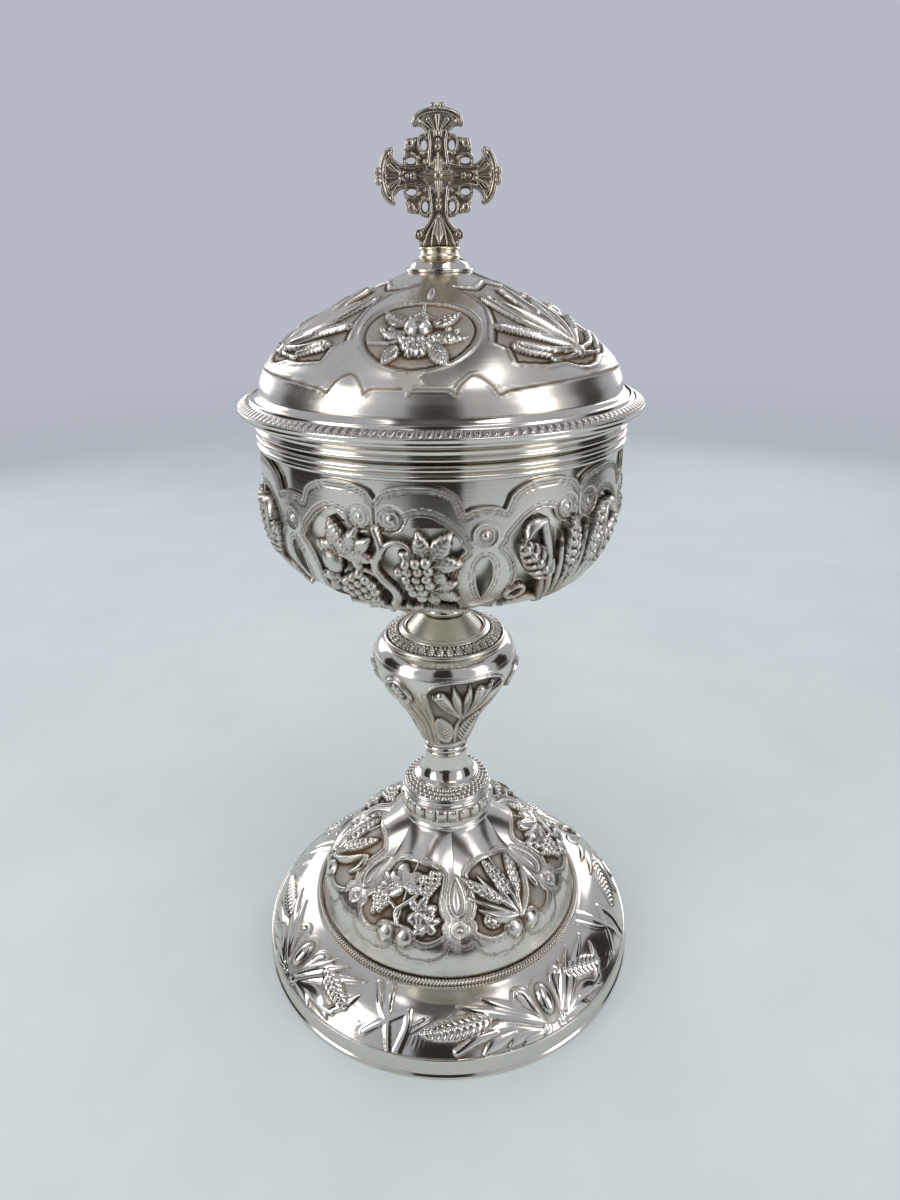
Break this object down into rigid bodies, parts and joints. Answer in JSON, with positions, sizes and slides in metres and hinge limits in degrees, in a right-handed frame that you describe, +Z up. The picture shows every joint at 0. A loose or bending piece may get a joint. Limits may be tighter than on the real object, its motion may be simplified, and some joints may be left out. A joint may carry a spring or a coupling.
{
  "type": "ciborium",
  "caption": "Covered cup for hosts on a lobed foot and knop stem, with an openwork basket of vine and wheat and a lift-off domed lid topped by a pierced cross.",
  "frame": {"origin": "centre of the foot's lower edge, on the table", "axes": "+Z up along the stem's axis, the cross's face looks along -Y and its arms lie along X"},
  "size_m": [0.14, 0.14, 0.2812],
  "materials": {
    "polished_silver": "polished silver with light tarnish",
    "chased_silver": "chased silver, brown tarnish in the recesses",
    "oxidised_silver": "cast silver, dark oxidised",
    "gilt_silver": "worn gilding on silver",
    "steel": "plain turned steel"
  },
  "bodies": {
    "stand": {"foot_band": "polished_silver", "foot_skirt": "polished_silver", "milled_wire": "polished_silver", "foot_dome": "chased_silver", "foot_washer": "steel", "tie_nut": "steel", "tie_rod": "steel", "collar_ring": "chased_silver", "collar_dome": "polished_silver", "spool_ring": "polished_silver", "knop_seat": "oxidised_silver", "knop_lower": "chased_silver", "knop_upper": "polished_silver", "knop_frieze": "chased_silver", "knop_cap": "polished_silver", "upper_neck": "polished_silver", "basket_plate": "polished_silver", "basket": "chased_silver", "cup_boss": "polished_silver", "cup": "polished_silver", "cup_rim": "polished_silver"},
    "lid": {"lid_flange": "polished_silver", "lid_bezel": "polished_silver", "lid_dome": "polished_silver", "lid_cap": "polished_silver", "cross_collar": "gilt_silver", "cross": "oxidised_silver", "cross_washer": "steel", "cross_nut": "steel", "cross_stud": "steel"}
  },
  "joints": [
    {"name": "lid_lift", "type": "slide", "parent": "stand", "child": "lid", "axis": [0, 0, 1], "range_m": [0, 0.06]}
  ]
}
